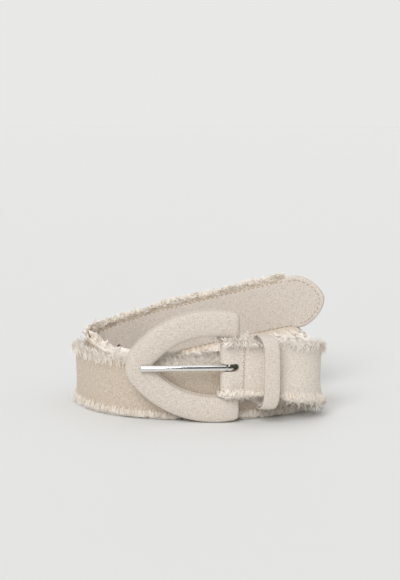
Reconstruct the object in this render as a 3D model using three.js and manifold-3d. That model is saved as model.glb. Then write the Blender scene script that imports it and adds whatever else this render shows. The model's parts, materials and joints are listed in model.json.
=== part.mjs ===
// A woven linen waist belt, loosely coiled and standing on its lower edge.
// Millimetres, +Z up, the buckle faces -Y. The strap is a sandwich of two cloth plies round a
// stiffener, swept along one route that starts at the tail sewn back behind the buckle's bar.
import * as THREE from 'three';
import { mergeVertices } from 'three/addons/utils/BufferGeometryUtils.js';
import Module from 'manifold-3d';

const wasm = await Module();
wasm.setup();

// Strap
const strapWidth = 42; // over the frayed edges
const edgeFray = 5; // frayed margin on each side
const plyThickness = 0.9;
const coreThickness = 0.8;
const coreMargin = 1.2; // stiffener's edge to the frayed margin
const pieceGap = 0.3; // air between pieces that lie against each other
const strapThickness = 2 * plyThickness + coreThickness + 2 * pieceGap;
const tipLength = 20; // rounded point at the free end
const tipHalfWidth = 17.5; // clean-cut edge, past the end of the fraying
const frayEnd = 25; // from the tip's end to the last frayed yarn
const tipEase = 8; // length over which the fraying grows to full width
const tipFullness = 1.9; // how soon the point reaches its full width
const tipBluntness = 0.58; // 0.5 is a round end, 1 a sharp one

// Buckle: a pointed arch of two equal arms, closed by the bar
const armWidth = 17;
const barRadius = 2;
const barReach = 5; // how far the bar enters each arm
const buckleLength = 75;
const archRadius = 69.3; // of each outer side
const apexRadius = 18;
const cornerRadius = 4;
const innerCornerRadius = 3;
const windowApexRadius = 2;
const frameThickness = 5.4;
const coverThickness = 0.9;
const backThickness = 0.9;
const backOverhang = 0.5; // the backing plate shows as a rim round the cover
const domeRise = 2.2;
const domeRun = 5;
const windowPlay = 1; // cloth edge to arm, where the strap passes between the arms
const frayPress = 0.3; // the frayed edges press in this much at the window's middle
const barToEnd = 6.8; // bar's axis to the arms' straight ends

// Prong
const prongRadius = 2.1;
const prongLength = 58.6; // bar's axis to the tip
const prongCurl = 1.9; // wall of the curl that holds the bar
const prongPlay = 0.5; // prong to the sides of its slot
const holeEase = 0.4; // the woven cloth opens this much as the prong goes in

// Holes in the free end
const firstHole = 72; // from the tip's end
const holePitch = 22;
const holeCount = 5;

// Fold at the bar
const tailEnd = 14; // bar's axis to the tail's cut end
const seamFromBar = 10; // bar's axis to the seam that closes the fold
const foldMargin = 4; // past the seam, where the frayed edges spread again

// Sewing
const threadWidth = 0.7;
const threadThickness = 0.35;
const tipRowInset = 3;
const foldRowLength = 32;

// Keeper
const keeperWidth = 10;
const keeperPly = 0.6;
const keeperCore = 0.5;
const keeperSidePlay = 1.2; // inside of the loop to the strap's full width
const keeperPress = 1.5; // the loop presses each frayed edge in by this much
const keeperTravel = 7; // how far the loop can slide along the strap
const keeperLean = 4.5; // the front of the loop stands this far along the strap
const keeperFromBar = 24;
const keeperPlay = 1.1; // in front of and behind the two thicknesses it holds

// Fits worked out from the values above
const windowHalf = strapWidth / 2 - frayPress;
const buckleHalf = windowHalf + armWidth;
const archDrop = archRadius - buckleHalf;
const wrapRadius = barRadius + pieceGap + strapThickness / 2;
const layerStep = strapThickness + pieceGap;
const bar = new THREE.Vector3(21, -62.5, buckleHalf + backOverhang);
const floorLevel = strapWidth / 2;
const frontRun = bar.y + 7.5; // the layer on the floor behind the buckle
const faceOut = strapThickness / 2;
const faceIn = faceOut - plyThickness;
const curlRadius = barRadius + pieceGap + prongCurl;
const slotEnd = barRadius + 2 * prongRadius + prongPlay + 2 * pieceGap;
const slotHalf = prongRadius + prongPlay;
const seamX = bar.x + seamFromBar;
const foldEndX = seamX + foldMargin;
const sewnThickness = strapThickness + 2 * (pieceGap + threadThickness);
const keeperRoom = 2 * (sewnThickness + keeperPlay); // for the strap and the tip laid over it
const armEndX = bar.x + barToEnd;
const apexReach = Math.sqrt((archRadius - apexRadius) ** 2 - archDrop ** 2);
const archX = armEndX - buckleLength + apexRadius + apexReach; // both sides' arcs are centred here
const windowEndHalf = Math.sqrt((archRadius - armWidth) ** 2 - (armEndX - archX) ** 2) - archDrop;

const cloth = { color: 0xcfc3b2, roughness: 0.95, metalness: 0 };
const cord = { color: 0xb9ab97, roughness: 0.9, metalness: 0 };
const board = { color: 0xa59a88, roughness: 0.9, metalness: 0 };
const steel = { color: 0xd8d8d8, roughness: 0.15, metalness: 1 };

// ---- solids ---------------------------------------------------------------------------------

function solid(geometry) {
  const bare = geometry.index ? geometry.toNonIndexed() : geometry.clone();
  bare.deleteAttribute('normal');
  bare.deleteAttribute('uv');
  const merged = mergeVertices(bare, 1e-4);
  return new wasm.Manifold(new wasm.Mesh({
    numProp: 3,
    vertProperties: new Float32Array(merged.attributes.position.array),
    triVerts: new Uint32Array(merged.index.array),
  }));
}

function geometryOf(shape) {
  const mesh = shape.getMesh();
  const points = new Float32Array(mesh.numVert * 3);
  for (let i = 0; i < mesh.numVert; i += 1) {
    for (let k = 0; k < 3; k += 1) points[3 * i + k] = mesh.vertProperties[mesh.numProp * i + k];
  }
  const geometry = new THREE.BufferGeometry();
  geometry.setAttribute('position', new THREE.BufferAttribute(points, 3));
  geometry.setIndex(new THREE.BufferAttribute(new Uint32Array(mesh.triVerts), 1));
  return geometry;
}

const object = new THREE.Group();

function piece(name, shape, finish) {
  const geometry = shape.isBufferGeometry ? shape : geometryOf(shape);
  geometry.computeVertexNormals();
  const mesh = new THREE.Mesh(geometry, new THREE.MeshStandardMaterial(finish));
  mesh.name = name;
  object.add(mesh);
}

// Rings of four corners joined into one bar, or into an endless loop.
function ribbon(rings, closed = false) {
  const points = rings.flat().flatMap((corner) => corner.toArray());
  const faces = [];
  const quad = (a, b, c, d) => faces.push(a, c, b, a, d, c);
  const last = rings.length - 1;
  for (let i = 0; i < (closed ? rings.length : last); i += 1) {
    const [here, there] = [4 * i, 4 * ((i + 1) % rings.length)];
    for (let k = 0; k < 4; k += 1) {
      const next = (k + 1) % 4;
      quad(here + k, here + next, there + next, there + k);
    }
  }
  if (!closed) {
    quad(3, 2, 1, 0);
    quad(4 * last, 4 * last + 1, 4 * last + 2, 4 * last + 3);
  }
  const geometry = new THREE.BufferGeometry();
  geometry.setAttribute('position', new THREE.Float32BufferAttribute(points, 3));
  geometry.setIndex(faces);
  return geometry;
}

// An upright prism: outline in X and Z, from y = back to y = front, front being the smaller.
function prism(shape, back, front) {
  const geometry = new THREE.ExtrudeGeometry(shape, {
    depth: back - front,
    curveSegments: 12,
    bevelEnabled: false,
  });
  geometry.rotateX(Math.PI / 2);
  geometry.translate(0, back, 0);
  return solid(geometry);
}

// ---- the strap's route ----------------------------------------------------------------------

// Centre of the strap, from the tail round the bar, right, and back on itself in three layers.
function wrapPoints() {
  const points = [];
  for (let turn = 90; turn <= 270; turn += 22.5) {
    const angle = THREE.MathUtils.degToRad(turn);
    const x = bar.x + wrapRadius * Math.cos(angle);
    points.push([x, bar.y + wrapRadius * Math.sin(angle), bar.z]);
  }
  return points;
}

const tailY = bar.y + layerStep / 2;
const runY = bar.y - layerStep / 2;
const routePoints = [
  [bar.x + tailEnd, tailY, bar.z],
  [seamX - 1, tailY, bar.z],
  ...wrapPoints(),
  [seamX - 1, runY, bar.z],
  [bar.x + 17, runY, bar.z - 0.4],
  [bar.x + 33, runY, bar.z - 1.4],
  [64, runY + 0.6, bar.z - 2.6],
  [72, runY + 3.2, bar.z - 3.8],
  [78.4, runY + 8.2, bar.z - 5.2],
  [81.9, -49, floorLevel + 9.8],
  [82.2, -42.4, floorLevel + 6.6],
  [79, -36.6, floorLevel + 3.6],
  [71.4, -36.4, floorLevel + 1.3],
  [62, frontRun + 13.5, floorLevel + 0.1],
  [50, frontRun + 7.6, floorLevel],
  [28, frontRun + 1.2, floorLevel],
  [10, frontRun, floorLevel],
  [-12, frontRun + 0.3, floorLevel],
  [-28, frontRun + 1.8, floorLevel],
  [-42, frontRun + 5.4, floorLevel],
  [-56, frontRun + 12.2, floorLevel],
  [-69, frontRun + 22.4, floorLevel],
  [-79.6, -18, floorLevel],
  [-85.6, -3, floorLevel],
  [-83, 8, floorLevel],
  [-72, 17.5, floorLevel],
  [-56, 24.6, floorLevel],
  [-32, 31, floorLevel],
  [-4, 34.4, floorLevel],
  [28, 34.2, floorLevel],
  [52, 31, floorLevel],
  [68, 25.4, floorLevel],
  [74.2, 16, floorLevel],
  [71.6, 4, floorLevel],
  [62, -8, floorLevel],
  [48, -20, floorLevel],
  [30, -31.4, floorLevel],
  [10, frontRun + 14.6, floorLevel],
  [-14, frontRun + 9.6, floorLevel],
  [-34, frontRun + 10.2, floorLevel],
  [-48, frontRun + 14.4, floorLevel + 0.2],
  [-60.5, frontRun + 22.6, floorLevel + 1.2],
  [-70.4, -20.4, floorLevel + 3.8],
  [-75.4, -8, floorLevel + 7.2],
  [-71.8, 1.8, floorLevel + 10.2],
  [-64.2, 7.6, floorLevel + 12.8],
  [-50.4, 15.2, floorLevel + 16.8],
  [-36, 22.4, floorLevel + 20.4],
  [-16, 26.4, floorLevel + 25.2],
  [8, 27.2, floorLevel + 30.8],
  [32, 25.8, floorLevel + 36.8],
  [54, 22.2, floorLevel + 42.6],
  [74, 16.8, floorLevel + 47.8],
  [92.2, 10.6, floorLevel + 51.8],
].map((point) => new THREE.Vector3(...point));

const route = new THREE.CatmullRomCurve3(routePoints, false, 'centripetal');
route.arcLengthDivisions = 3000;
const routeLength = route.getLength();

// Where the strap is at a distance along its route: place, and the ways along, across and out.
function frameAt(distance) {
  const u = THREE.MathUtils.clamp(distance / routeLength, 0, 1);
  const place = route.getPointAt(u);
  const along = route.getTangentAt(u);
  const out = new THREE.Vector3(along.y, -along.x, 0).normalize();
  const up = new THREE.Vector3().crossVectors(out, along).normalize();
  return { place, along, up, out };
}

function onStrap(distance, across, outward) {
  const { place, along, up, out } = frameAt(distance);
  const beyond = distance - THREE.MathUtils.clamp(distance, 0, routeLength);
  return place.clone().addScaledVector(up, across).addScaledVector(out, outward)
    .addScaledVector(along, beyond);
}

// Distances along the route, closer together where it bends.
function stations(start, end, bendStep = 6, longest = 16) {
  const list = [start];
  const probe = 0.5;
  let turned = 0;
  let travelled = 0;
  let last = frameAt(start).along;
  for (let s = start + probe; s < end; s += probe) {
    const { along } = frameAt(s);
    turned += THREE.MathUtils.radToDeg(along.angleTo(last));
    travelled += probe;
    last = along;
    if ((turned >= bendStep || travelled >= longest) && end - s > 2 * probe) {
      list.push(s);
      turned = 0;
      travelled = 0;
    }
  }
  list.push(end);
  return list;
}

const { lerp, smoothstep: smooth } = THREE.MathUtils;

function distanceOf(test) {
  let s = 0;
  while (s < routeLength && !test(frameAt(s).place, s)) s += 0.25;
  return s;
}

const runStart = tailEnd + Math.PI * wrapRadius; // on the front run, past the bar
const foldEnd = distanceOf((place, s) => s > runStart && place.x >= foldEndX);
const seamAt = distanceOf((place, s) => s > runStart && place.x >= seamX);
const tailSeam = distanceOf((place) => place.x <= seamX);
const pressEndX = bar.x + keeperFromBar + keeperLean + keeperWidth / 2 + keeperTravel;
const pressEnd = distanceOf((place, s) => s > runStart && place.x >= pressEndX);

// Half width of the pointed end at a distance from its very end.
function pointHalf(fromEnd, half, length) {
  const t = THREE.MathUtils.clamp(fromEnd / length, 0.004, 1);
  return half * (1 - (1 - t) ** tipFullness) ** tipBluntness;
}

function strapHalf(s) {
  const fromEnd = routeLength - s;
  const folded = windowEndHalf - windowPlay;
  const held = strapWidth / 2 - keeperPress;
  const pressed = lerp(folded, held, smooth(s, foldEnd - 4, foldEnd + 4));
  const full = lerp(pressed, strapWidth / 2, smooth(s, pressEnd, pressEnd + 8));
  const clean = lerp(tipHalfWidth, full, smooth(fromEnd, frayEnd, frayEnd + tipEase));
  return fromEnd < tipLength ? pointHalf(fromEnd, tipHalfWidth, tipLength) : clean;
}

const tipSteps = [0.7, 0.5, 0.34, 0.22, 0.12, 0.05, 0.015, 0];
const tipStations = tipSteps.map((t) => routeLength - t * tipLength);
const mainStations = [
  ...stations(0, routeLength - frayEnd - tipEase),
  ...[0.75, 0.5, 0.25, 0].map((t) => routeLength - frayEnd - t * tipEase),
  routeLength - tipLength,
  ...tipStations,
];

// The same stations for every layer, so that each layer nests in the next round a bend.
const between = (from, to) => mainStations.filter((s) => s >= from && s <= to);

function ply(inner, outer, half, list = mainStations) {
  const rings = list.map((s) => {
    const w = half(s);
    return [
      onStrap(s, -w, inner), onStrap(s, -w, outer),
      onStrap(s, w, outer), onStrap(s, w, inner),
    ];
  });
  return solid(ribbon(rings));
}

// Holes for the prong, and its slot through the fold at the bar.
function strapCuts() {
  const radius = prongRadius - holeEase / 2;
  const punchLength = 3 * strapThickness; // well past both faces
  const cuts = [];
  for (let i = 0; i < holeCount; i += 1) {
    const { place, out } = frameAt(routeLength - firstHole - i * holePitch);
    const punch = new THREE.CylinderGeometry(radius, radius, punchLength, 16);
    const turn = new THREE.Quaternion().setFromUnitVectors(new THREE.Vector3(0, 1, 0), out);
    punch.applyQuaternion(turn);
    punch.translate(...place.toArray());
    cuts.push(solid(punch));
  }
  const left = bar.x - wrapRadius - strapThickness;
  const right = bar.x + slotEnd;
  const slot = new THREE.Shape();
  slot.moveTo(left, bar.z - slotHalf);
  slot.lineTo(right - slotHalf, bar.z - slotHalf);
  slot.absarc(right - slotHalf, bar.z, slotHalf, -Math.PI / 2, Math.PI / 2, false);
  slot.lineTo(left, bar.z + slotHalf);
  slot.closePath();
  const depth = wrapRadius + strapThickness;
  cuts.push(prism(slot, bar.y + depth, bar.y - depth));
  return cuts;
}

const cuts = strapCuts();
const cutStrap = (shape) => cuts.reduce((left, cut) => left.subtract(cut), shape);

const coreHalf = strapWidth / 2 - edgeFray - coreMargin;
const coreEndInset = 4;
const coreStart = tailSeam - 1;
const coreStations = between(coreStart, routeLength - coreEndInset - pieceGap);

function coreHalfAt(s) {
  const fromEnd = routeLength - coreEndInset - s;
  return Math.min(coreHalf, pointHalf(fromEnd, coreHalf, tipLength - coreEndInset));
}

piece('strap_face', cutStrap(ply(faceIn, faceOut, strapHalf)), cloth);
const stiffener = ply(-coreThickness / 2, coreThickness / 2, coreHalfAt, coreStations);
piece('strap_core', cutStrap(stiffener), board);
piece('strap_lining', cutStrap(ply(-faceOut, -faceIn, strapHalf)), cloth);

// ---- sewing ---------------------------------------------------------------------------------

// A row of sewing over the strap: places given as distance along it and height across it.
function sewingRow(places, side) {
  const near = side > 0 ? faceOut + pieceGap : -faceOut - pieceGap - threadThickness;
  const far = near + threadThickness;
  const rings = places.map(([s, w], i) => {
    const [s0, w0] = places[Math.max(i - 1, 0)];
    const [s1, w1] = places[Math.min(i + 1, places.length - 1)];
    const run = Math.hypot(s1 - s0, w1 - w0);
    const ds = -(w1 - w0) / run * threadWidth / 2;
    const dw = (s1 - s0) / run * threadWidth / 2;
    return [
      onStrap(s - ds, w - dw, near), onStrap(s - ds, w - dw, far),
      onStrap(s + ds, w + dw, far), onStrap(s + ds, w + dw, near),
    ];
  });
  return solid(ribbon(rings));
}

const rowHeight = strapWidth / 2 - edgeFray - 0.4;
const rowStart = foldEnd + 4;
const rowEnd = routeLength - frayEnd;
const rowPlaces = between(rowStart, rowEnd);
const rowBreak = 1.2; // between the end of a straight row and the row round the point

function tipRowPlaces() {
  const upper = [];
  const reach = tipLength - tipRowInset;
  for (const t of [1, 0.75, 0.5, 0.3, 0.15, 0.06, 0.02]) {
    const half = pointHalf(t * reach, tipHalfWidth - tipRowInset, reach);
    upper.push([routeLength - tipRowInset - t * reach, half]);
  }
  upper.unshift([rowEnd + rowBreak, upper[0][1]]);
  const lower = upper.map(([s, w]) => [s, -w]).reverse();
  return [...upper, [routeLength - tipRowInset, 0], ...lower];
}

for (const [label, side] of [['needle', 1], ['bobbin', -1]]) {
  piece(`${label}_thread_upper`, sewingRow(rowPlaces.map((s) => [s, rowHeight]), side), cord);
  piece(`${label}_thread_lower`, sewingRow(rowPlaces.map((s) => [s, -rowHeight]), side), cord);
  piece(`${label}_thread_tip`, sewingRow(tipRowPlaces(), side), cord);
}

// The seam that closes the fold: needle thread on the run, bobbin thread on the tail behind it.
const foldRow = [-0.5, 0.5].map((t) => t * foldRowLength);
piece('fold_needle_thread', sewingRow(foldRow.map((w) => [seamAt, w]), 1), cord);
piece('fold_bobbin_thread', sewingRow(foldRow.map((w) => [tailSeam, w]), 1), cord);

// ---- buckle ---------------------------------------------------------------------------------

const least = 0.3; // smallest rounding left when an outline is drawn in

function arc(x, z, radius, from, to, steps) {
  const points = [];
  for (let i = 0; i <= steps; i += 1) {
    const angle = from + (to - from) * i / steps;
    points.push(new THREE.Vector2(x + radius * Math.cos(angle), z + radius * Math.sin(angle)));
  }
  return points;
}

// Outline of the pointed arch in X and Z, drawn in by the inset on every side.
function archOutline(inset) {
  const outer = archRadius - inset;
  const inner = archRadius - armWidth + inset;
  const apex = apexRadius - inset;
  const corner = Math.max(cornerRadius - inset, least);
  const innerCorner = Math.max(innerCornerRadius - inset, least);
  const windowApex = windowApexRadius + inset;
  const endX = armEndX - inset;
  const away = (radius, x) => Math.sqrt(radius ** 2 - (x - archX) ** 2);
  const pull = (radius) => Math.sqrt(radius ** 2 - archDrop ** 2);

  const cornerX = endX - corner;
  const cornerRise = away(outer - corner, cornerX);
  const cornerTurn = Math.atan2(cornerRise, cornerX - archX);
  const innerX = endX - innerCorner;
  const innerRise = away(inner + innerCorner, innerX);
  const innerTurn = Math.atan2(innerRise, archX - innerX);
  const apexTurn = Math.atan2(archDrop, pull(outer - apex));
  const windowTurn = Math.atan2(archDrop, pull(inner - windowApex));
  const apexX = archX - pull(outer - apex);
  const windowX = archX - pull(inner - windowApex);
  const upperZ = bar.z - archDrop; // centre of the upper side's arcs
  const lowerZ = bar.z + archDrop;
  const halfTurn = Math.PI;

  return [
    ...arc(cornerX, upperZ + cornerRise, corner, 0, cornerTurn, 4),
    ...arc(archX, upperZ, outer, cornerTurn, halfTurn - apexTurn, 10).slice(1),
    ...arc(apexX, bar.z, apex, halfTurn - apexTurn, halfTurn + apexTurn, 8).slice(1),
    ...arc(archX, lowerZ, outer, halfTurn + apexTurn, 2 * halfTurn - cornerTurn, 10).slice(1),
    ...arc(cornerX, lowerZ - cornerRise, corner, 2 * halfTurn - cornerTurn, 2 * halfTurn, 4).slice(1),
    ...arc(innerX, lowerZ - innerRise, innerCorner, 0, innerTurn, 4),
    ...arc(archX, lowerZ, inner, innerTurn - halfTurn, windowTurn - halfTurn, 9).slice(1),
    ...arc(windowX, bar.z, windowApex, halfTurn + windowTurn, halfTurn - windowTurn, 4).slice(1),
    ...arc(archX, upperZ, inner, halfTurn - windowTurn, halfTurn - innerTurn, 9).slice(1),
    ...arc(innerX, upperZ + innerRise, innerCorner, 2 * halfTurn - innerTurn, 2 * halfTurn, 4).slice(1),
  ];
}

// A solid through the arch's outlines, each given as an inset and a place in Y, back to front.
function archSolid(levels) {
  const rings = levels.map(([inset, y]) => (
    archOutline(inset).map(({ x, y: z }) => new THREE.Vector3(x, y, z))
  ));
  const count = rings[0].length;
  const faces = [];
  for (let i = 0; i + 1 < rings.length; i += 1) {
    for (let k = 0; k < count; k += 1) {
      const next = (k + 1) % count;
      const [a, b] = [i * count + k, i * count + next];
      const [c, d] = [b + count, a + count];
      faces.push(a, b, c, a, c, d);
    }
  }
  const cap = (inset) => THREE.ShapeUtils.triangulateShape(archOutline(inset), []);
  const last = (rings.length - 1) * count;
  for (const [a, b, c] of cap(levels[0][0])) faces.push(a, c, b);
  for (const [a, b, c] of cap(levels.at(-1)[0])) faces.push(last + a, last + b, last + c);
  const geometry = new THREE.BufferGeometry();
  const points = rings.flat().flatMap((corner) => corner.toArray());
  geometry.setAttribute('position', new THREE.Float32BufferAttribute(points, 3));
  geometry.setIndex(faces);
  return solid(geometry);
}

function domed(inset, back, front, rise = domeRise) {
  const levels = [[inset, back]];
  for (const turn of [0, 30, 60, 90].map((degrees) => THREE.MathUtils.degToRad(degrees))) {
    levels.push([inset + domeRun * (1 - Math.cos(turn)), front + rise * (1 - Math.sin(turn))]);
  }
  return archSolid(levels);
}

const coreBack = bar.y + frameThickness / 2;
const coreFront = bar.y - frameThickness / 2;
const coverFront = coreFront - pieceGap - coverThickness;
const coreInset = coverThickness + pieceGap;
const barHalf = windowHalf + coreInset + barReach;

function uprightCylinder(radius, halfLength) {
  const geometry = new THREE.CylinderGeometry(radius, radius, 2 * halfLength, 24);
  geometry.rotateX(Math.PI / 2);
  geometry.translate(bar.x, bar.y, bar.z);
  return solid(geometry);
}

const barBore = uprightCylinder(barRadius + pieceGap, barHalf + pieceGap);
const frame = domed(coreInset, coreBack, coreFront);
const coverOutside = domed(0, coreBack, coverFront);
const coverInside = domed(coverThickness, coreBack + 1, coverFront + coverThickness);
piece('buckle_frame', frame.subtract(barBore), board);
piece('buckle_cover', coverOutside.subtract(coverInside).subtract(barBore), cloth);
const backNear = coreBack + pieceGap;
piece('buckle_backing', archSolid([
  [-backOverhang, backNear + backThickness],
  [-backOverhang, backNear],
]), cloth);
piece('crossbar', uprightCylinder(barRadius, barHalf), steel);

// The prong: a round pin whose root is curled round the bar.
function prongSolid() {
  const inside = barRadius + pieceGap;
  const profile = [
    [inside, -prongRadius], [curlRadius, -prongRadius],
    [curlRadius, prongRadius], [inside, prongRadius], [inside, -prongRadius],
  ].map(([x, y]) => new THREE.Vector2(x, y));
  const curl = new THREE.LatheGeometry(profile, 32);
  curl.rotateX(Math.PI / 2);
  curl.translate(bar.x, bar.y, bar.z);

  const root = new THREE.Vector3(bar.x, bar.y - inside - prongRadius, bar.z);
  const tip = new THREE.Vector3(bar.x - prongLength, coverFront - pieceGap - prongRadius, bar.z);
  const length = root.distanceTo(tip);
  const chamfer = 0.4;
  const pin = new THREE.LatheGeometry([
    new THREE.Vector2(0, 0),
    new THREE.Vector2(prongRadius, 0),
    new THREE.Vector2(prongRadius, length - chamfer),
    new THREE.Vector2(prongRadius - chamfer, length),
    new THREE.Vector2(0, length),
  ], 24);
  const way = tip.clone().sub(root).normalize();
  pin.applyQuaternion(new THREE.Quaternion().setFromUnitVectors(new THREE.Vector3(0, 1, 0), way));
  pin.translate(...root.toArray());
  return solid(curl).add(solid(pin));
}

piece('prong', prongSolid(), steel);

// ---- keeper ---------------------------------------------------------------------------------

const keeperHang = 2; // the loop hangs on the strap's upper edge
const keeperX = bar.x + keeperFromBar;
const keeperRise = distanceOf((place, s) => s > runStart && place.x >= keeperX);
const keeperZ = frameAt(keeperRise).place.z - keeperHang;
const keeperBack = runY + strapThickness / 2 + pieceGap + threadThickness + keeperPlay;
const keeperY = keeperBack - keeperRoom / 2;

// One layer of the loop, by its distances from the inside of the loop's wall.
function keeperLayer(near, far) {
  const steps = 44;
  const squareness = 0.45; // 1 is an ellipse, less is squarer
  const rings = [];
  const spread = (value) => Math.sign(value) * Math.abs(value) ** squareness;
  for (let i = 0; i < steps; i += 1) {
    const angle = 2 * Math.PI * i / steps;
    const depth = spread(Math.cos(angle));
    const height = spread(Math.sin(angle));
    const x = keeperX - keeperLean * Math.cos(angle);
    const at = (side, offset) => new THREE.Vector3(
      x + side * keeperWidth / 2,
      keeperY + depth * (keeperRoom / 2 + offset),
      keeperZ + height * (strapWidth / 2 + keeperSidePlay + offset),
    );
    rings.push([at(-1, near), at(-1, far), at(1, far), at(1, near)]);
  }
  return solid(ribbon(rings, true));
}

const keeperCoreNear = keeperPly + pieceGap;
const keeperOuterNear = keeperCoreNear + keeperCore + pieceGap;
const keeperWall = keeperOuterNear + keeperPly;
piece('keeper_lining', keeperLayer(0, keeperPly), cloth);
piece('keeper_core', keeperLayer(keeperCoreNear, keeperCoreNear + keeperCore), board);
piece('keeper_face', keeperLayer(keeperOuterNear, keeperWall), cloth);

const seamHeight = 14;
const keeperSeam = new THREE.BoxGeometry(threadWidth, threadThickness, seamHeight);
keeperSeam.translate(
  keeperX - keeperLean,
  keeperBack + keeperWall + pieceGap + threadThickness / 2,
  keeperZ,
);
piece('keeper_thread', keeperSeam, cord);

// The origin is under the middle of the whole belt, on the surface that it stands on.
const box = new THREE.Box3().setFromObject(object);
const middle = box.getCenter(new THREE.Vector3());
object.position.set(-middle.x, -middle.y, -box.min.z);

export default object;
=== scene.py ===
# A linen waist belt, loosely coiled and standing on its edge, with its cloth made strand by strand.
import json
import math

import bmesh
import bpy
import numpy as np
from mathutils import Matrix, Vector


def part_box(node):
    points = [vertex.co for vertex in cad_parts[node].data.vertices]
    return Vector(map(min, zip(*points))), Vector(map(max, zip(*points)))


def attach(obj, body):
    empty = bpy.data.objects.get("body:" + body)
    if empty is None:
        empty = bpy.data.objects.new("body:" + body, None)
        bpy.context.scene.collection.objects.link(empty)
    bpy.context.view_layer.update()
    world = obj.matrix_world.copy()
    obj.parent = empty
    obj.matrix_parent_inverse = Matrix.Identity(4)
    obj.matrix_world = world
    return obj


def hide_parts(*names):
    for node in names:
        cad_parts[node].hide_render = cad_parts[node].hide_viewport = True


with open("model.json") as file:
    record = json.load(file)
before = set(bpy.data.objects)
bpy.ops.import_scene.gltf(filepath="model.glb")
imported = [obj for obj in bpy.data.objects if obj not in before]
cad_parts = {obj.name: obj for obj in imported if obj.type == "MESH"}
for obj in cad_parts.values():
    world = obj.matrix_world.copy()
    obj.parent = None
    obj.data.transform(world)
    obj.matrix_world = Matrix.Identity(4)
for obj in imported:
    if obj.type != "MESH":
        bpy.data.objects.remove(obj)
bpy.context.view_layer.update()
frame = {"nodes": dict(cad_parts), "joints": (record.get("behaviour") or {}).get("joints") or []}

mm = 0.001


# The strap's route: everything on the strap is made flat, then laid along it.
# Flat X runs along the strap, Z across it, and -Y is the face that shows at the buckle.

route = {
    "bar": (21, -62.5, 38.2),      # the buckle's bar, in the route's own millimetres
    "floor": 21,                   # height of the strap's middle where it stands on the floor
    "frontRun": -55,               # the layer behind the buckle
    "tail": 14,                    # from the bar to the tail's cut end
    "wrapRadius": 3.9,             # strap's middle round the bar
    "layerStep": 3.5,              # from one thickness of strap to the next
    "samples": 60,                 # between neighbouring points
}


def routePoints():
    barX, barY, barZ = route["bar"]
    f, front = route["floor"], route["frontRun"]
    tailY = barY + route["layerStep"] / 2
    runY = barY - route["layerStep"] / 2
    turns = np.radians(np.arange(90, 271, 22.5))
    reach = route["wrapRadius"]
    wrap = [(barX + reach * math.cos(a), barY + reach * math.sin(a), barZ) for a in turns]
    return np.array([
        (barX + route["tail"], tailY, barZ), (barX + 9, tailY, barZ), *wrap,
        (barX + 9, runY, barZ), (barX + 17, runY, barZ - 0.4), (barX + 33, runY, barZ - 1.4),
        (64, runY + 0.6, barZ - 2.6), (72, runY + 3.2, barZ - 3.8), (78.4, runY + 8.2, barZ - 5.2),
        (81.9, -49, f + 9.8), (82.2, -42.4, f + 6.6), (79, -36.6, f + 3.6), (71.4, -36.4, f + 1.3),
        (62, front + 13.5, f + 0.1), (50, front + 7.6, f), (28, front + 1.2, f), (10, front, f),
        (-12, front + 0.3, f), (-28, front + 1.8, f), (-42, front + 5.4, f), (-56, front + 12.2, f),
        (-69, front + 22.4, f), (-79.6, -18, f), (-85.6, -3, f), (-83, 8, f), (-72, 17.5, f),
        (-56, 24.6, f), (-32, 31, f), (-4, 34.4, f), (28, 34.2, f), (52, 31, f), (68, 25.4, f),
        (74.2, 16, f), (71.6, 4, f), (62, -8, f), (48, -20, f), (30, -31.4, f),
        (10, front + 14.6, f), (-14, front + 9.6, f), (-34, front + 10.2, f),
        (-48, front + 14.4, f + 0.2), (-60.5, front + 22.6, f + 1.2), (-70.4, -20.4, f + 3.8),
        (-75.4, -8, f + 7.2), (-71.8, 1.8, f + 10.2), (-64.2, 7.6, f + 12.8), (-50.4, 15.2, f + 16.8),
        (-36, 22.4, f + 20.4), (-16, 26.4, f + 25.2), (8, 27.2, f + 30.8), (32, 25.8, f + 36.8),
        (54, 22.2, f + 42.6), (74, 16.8, f + 47.8), (92.2, 10.6, f + 51.8),
    ])


def smoothRoute(points, samples):
    # centripetal Catmull-Rom, the same curve that the frame's strap follows
    ends = np.vstack([2 * points[:1] - points[1:2], points, 2 * points[-1:] - points[-2:-1]])
    pieces = []
    t = np.linspace(0, 1, samples, endpoint=False)[:, None]
    for a, b, c, d in zip(ends, ends[1:], ends[2:], ends[3:]):
        ab, bc, cd = (np.sum((q - p) ** 2) ** 0.25 for p, q in ((a, b), (b, c), (c, d)))
        leave = ((b - a) / ab - (c - a) / (ab + bc) + (c - b) / bc) * bc
        arrive = ((c - b) / bc - (d - b) / (bc + cd) + (d - c) / cd) * bc
        pieces.append(b + leave * t + (3 * c - 3 * b - 2 * leave - arrive) * t ** 2
                      + (2 * b - 2 * c + leave + arrive) * t ** 3)
    return np.vstack([*pieces, points[-1:]])


barJoint = next(j for j in frame["joints"] if j["name"] == "buckle_swing")
shift = Vector(barJoint["pos_m"]) / mm - Vector(route["bar"])
routeLine = smoothRoute(routePoints(), route["samples"]) + np.array(shift)
routeAlong = np.gradient(routeLine, axis=0)
routeAt = np.concatenate([[0], np.cumsum(np.linalg.norm(np.diff(routeLine, axis=0), axis=1))])
routeAlong /= np.linalg.norm(routeAlong, axis=1)[:, None]
strapLength = routeAt[-1]
print("strap length", round(strapLength, 1), "mm")


def onRoute(flat):
    # flat points in millimetres to their places on the belt
    s = flat[:, 0]
    held = np.clip(s, 0, strapLength)
    place = np.stack([np.interp(held, routeAt, routeLine[:, k]) for k in range(3)], axis=1)
    along = np.stack([np.interp(held, routeAt, routeAlong[:, k]) for k in range(3)], axis=1)
    along /= np.linalg.norm(along, axis=1)[:, None]
    out = np.stack([along[:, 1], -along[:, 0], 0 * s], axis=1)
    out /= np.linalg.norm(out, axis=1)[:, None]
    up = np.cross(out, along)
    return place + along * (s - held)[:, None] - out * flat[:, 1:2] + up * flat[:, 2:3]


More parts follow.
